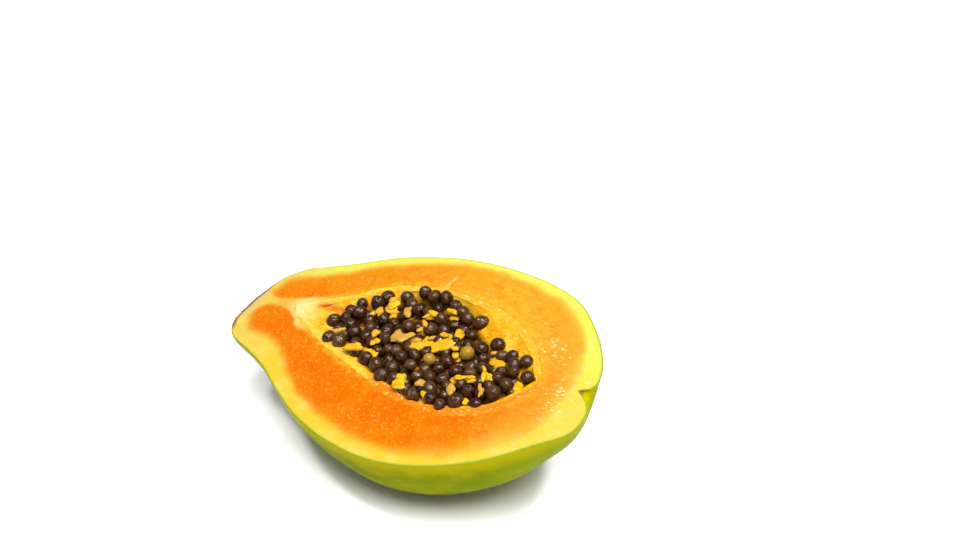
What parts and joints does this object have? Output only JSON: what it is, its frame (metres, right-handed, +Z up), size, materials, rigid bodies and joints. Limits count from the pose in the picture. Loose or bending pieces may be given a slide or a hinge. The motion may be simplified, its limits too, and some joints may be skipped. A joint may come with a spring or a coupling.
{
  "type": "papaya half",
  "caption": "Half of a ripe papaya cut lengthwise, lying on its green skin with the orange flesh, pulp lining and dark seed heap facing up.",
  "frame": {"origin": "on the surface that the half lies on, below the middle of its bounding box", "axes": "+Z up, +X from the stem end to the blossom end, +Y towards the side of the cut face that stands higher"},
  "size_m": [0.1616, 0.1028, 0.0609],
  "materials": {
    "flesh": "moist cut flesh, orange inside to yellow under the green skin",
    "pulp": "moist fibrous yellow pulp",
    "seeds": "wet glossy dark brown seeds in thin gel skins"
  },
  "bodies": {
    "root": {"flesh": "flesh", "pulp_lining": "pulp", "seed_heap": "seeds"}
  },
  "joints": []
}
